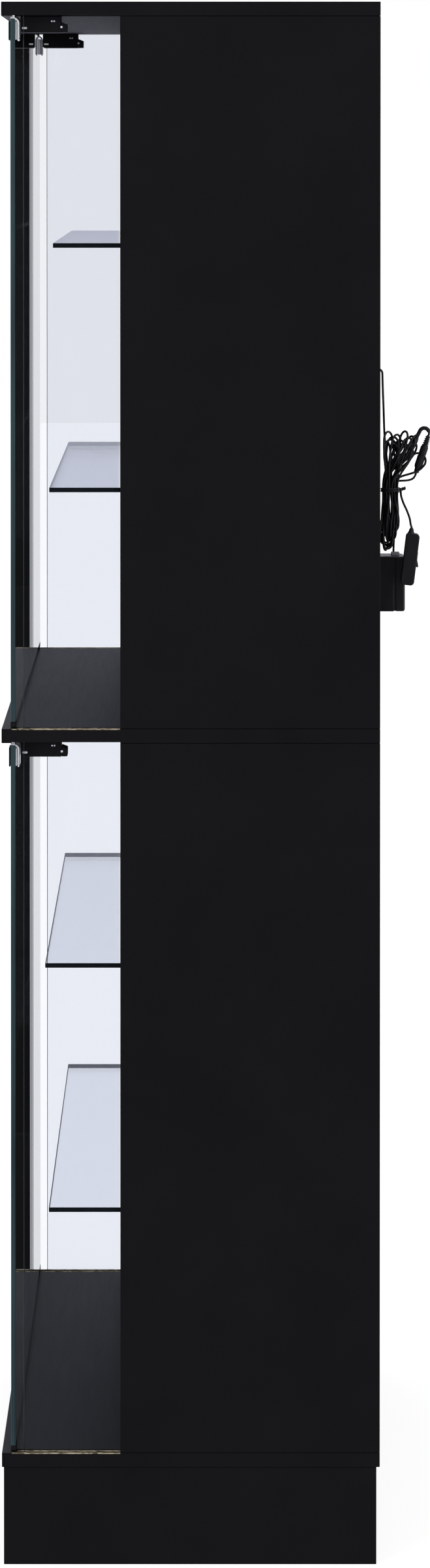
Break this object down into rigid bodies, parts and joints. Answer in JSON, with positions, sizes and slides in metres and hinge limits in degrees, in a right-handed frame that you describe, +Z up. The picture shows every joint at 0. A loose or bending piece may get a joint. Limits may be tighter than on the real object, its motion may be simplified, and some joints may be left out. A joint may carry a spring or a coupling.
{
  "type": "china cabinet with glass doors",
  "caption": "Tall black display cabinet: two compartments with glass doors and glazed front sides over a plinth, glass shelves, a light bar and its lead tied in a hank behind.",
  "frame": {"origin": "middle of the cabinet's footprint, at the underside of the plinth", "axes": "+Z up, the doors face -Y, the lighting lead hangs on the +Y side"},
  "size_m": [0.8, 0.4607, 1.655],
  "materials": {
    "black_board": "black melamine foil on chipboard, fine leather-like emboss, satin",
    "black_plinth": "black melamine foil on chipboard, satin",
    "back_board": "thin dark fibreboard, painted inside, matt",
    "clear_glass": "clear float glass, ground edges with a green-blue tint",
    "door_glass": "clear float glass, polished edges, dark teal seen along the pane",
    "chrome": "bright chrome plate",
    "black_plastic": "moulded black plastic, satin",
    "nickel_steel": "nickel-plated steel",
    "light_diffuser": "opal diffuser in a slim bar",
    "cord_jacket": "black PVC jacket, semi-gloss",
    "gloss_black_plastic": "moulded black plastic, fine texture"
  },
  "bodies": {
    "cabinet": {"top_panel": "black_board", "mid_panel": "black_board", "bottom_panel": "black_board", "plinth_side_left": "black_plinth", "plinth_side_right": "black_plinth", "plinth_front": "black_plinth", "plinth_rear": "black_plinth", "side_panel_lower_left": "black_board", "side_glass_lower_left": "clear_glass", "side_panel_lower_right": "black_board", "side_glass_lower_right": "clear_glass", "back_panel_lower": "back_board", "side_panel_upper_left": "black_board", "side_glass_upper_left": "clear_glass", "side_panel_upper_right": "black_board", "side_glass_upper_right": "clear_glass", "back_panel_upper": "back_board", "glass_shelf_1": "clear_glass", "shelf_rest_1_left": "nickel_steel", "shelf_rest_1_right": "nickel_steel", "glass_shelf_2": "clear_glass", "shelf_rest_2_left": "nickel_steel", "shelf_rest_2_right": "nickel_steel", "glass_shelf_3": "clear_glass", "shelf_rest_3_left": "nickel_steel", "shelf_rest_3_right": "nickel_steel", "glass_shelf_4": "clear_glass", "shelf_rest_4_left": "nickel_steel", "shelf_rest_4_right": "nickel_steel", "hinge_body_lower_left": "black_plastic", "hinge_body_lower_right": "black_plastic", "hinge_body_upper_left": "black_plastic", "hinge_body_upper_right": "black_plastic", "light_bar": "light_diffuser", "cord_grommet": "black_plastic", "cord_lead": "cord_jacket", "cord_hank": "cord_jacket", "cord_tie": "cord_jacket", "switch_lead": "cord_jacket", "cord_connector": "cord_jacket", "adapter": "gloss_black_plastic", "switch_body": "gloss_black_plastic"},
    "door_lower_left": {"door_glass_lower_left": "door_glass", "hinge_clamp_lower_left": "chrome", "hinge_cap_lower_left": "black_plastic", "pivot_shoe_lower_left": "black_plastic"},
    "door_lower_right": {"door_glass_lower_right": "door_glass", "hinge_clamp_lower_right": "chrome", "hinge_cap_lower_right": "black_plastic", "pivot_shoe_lower_right": "black_plastic"},
    "door_upper_left": {"door_glass_upper_left": "door_glass", "hinge_clamp_upper_left": "chrome", "hinge_cap_upper_left": "black_plastic", "pivot_shoe_upper_left": "black_plastic"},
    "door_upper_right": {"door_glass_upper_right": "door_glass", "hinge_clamp_upper_right": "chrome", "hinge_cap_upper_right": "black_plastic", "pivot_shoe_upper_right": "black_plastic"},
    "rocker": {"switch_rocker": "gloss_black_plastic"}
  },
  "joints": [
    {"name": "door_lower_left_hinge", "type": "hinge", "parent": "cabinet", "child": "door_lower_left", "pos_m": [-0.39, -0.1878, 0.4975], "axis": [0, 0, -1], "range_deg": [0, 105]},
    {"name": "door_lower_right_hinge", "type": "hinge", "parent": "cabinet", "child": "door_lower_right", "pos_m": [0.39, -0.1878, 0.4975], "axis": [0, 0, 1], "range_deg": [0, 105]},
    {"name": "door_upper_left_hinge", "type": "hinge", "parent": "cabinet", "child": "door_upper_left", "pos_m": [-0.39, -0.1878, 1.2655], "axis": [0, 0, -1], "range_deg": [0, 105]},
    {"name": "door_upper_right_hinge", "type": "hinge", "parent": "cabinet", "child": "door_upper_right", "pos_m": [0.39, -0.1878, 1.2655], "axis": [0, 0, 1], "range_deg": [0, 105]},
    {"name": "switch_rocker_hinge", "type": "hinge", "parent": "cabinet", "child": "rocker", "pos_m": [0.311, 0.2415, 1.05826], "axis": [-1, 0, 0], "range_deg": [0, 16]}
  ]
}
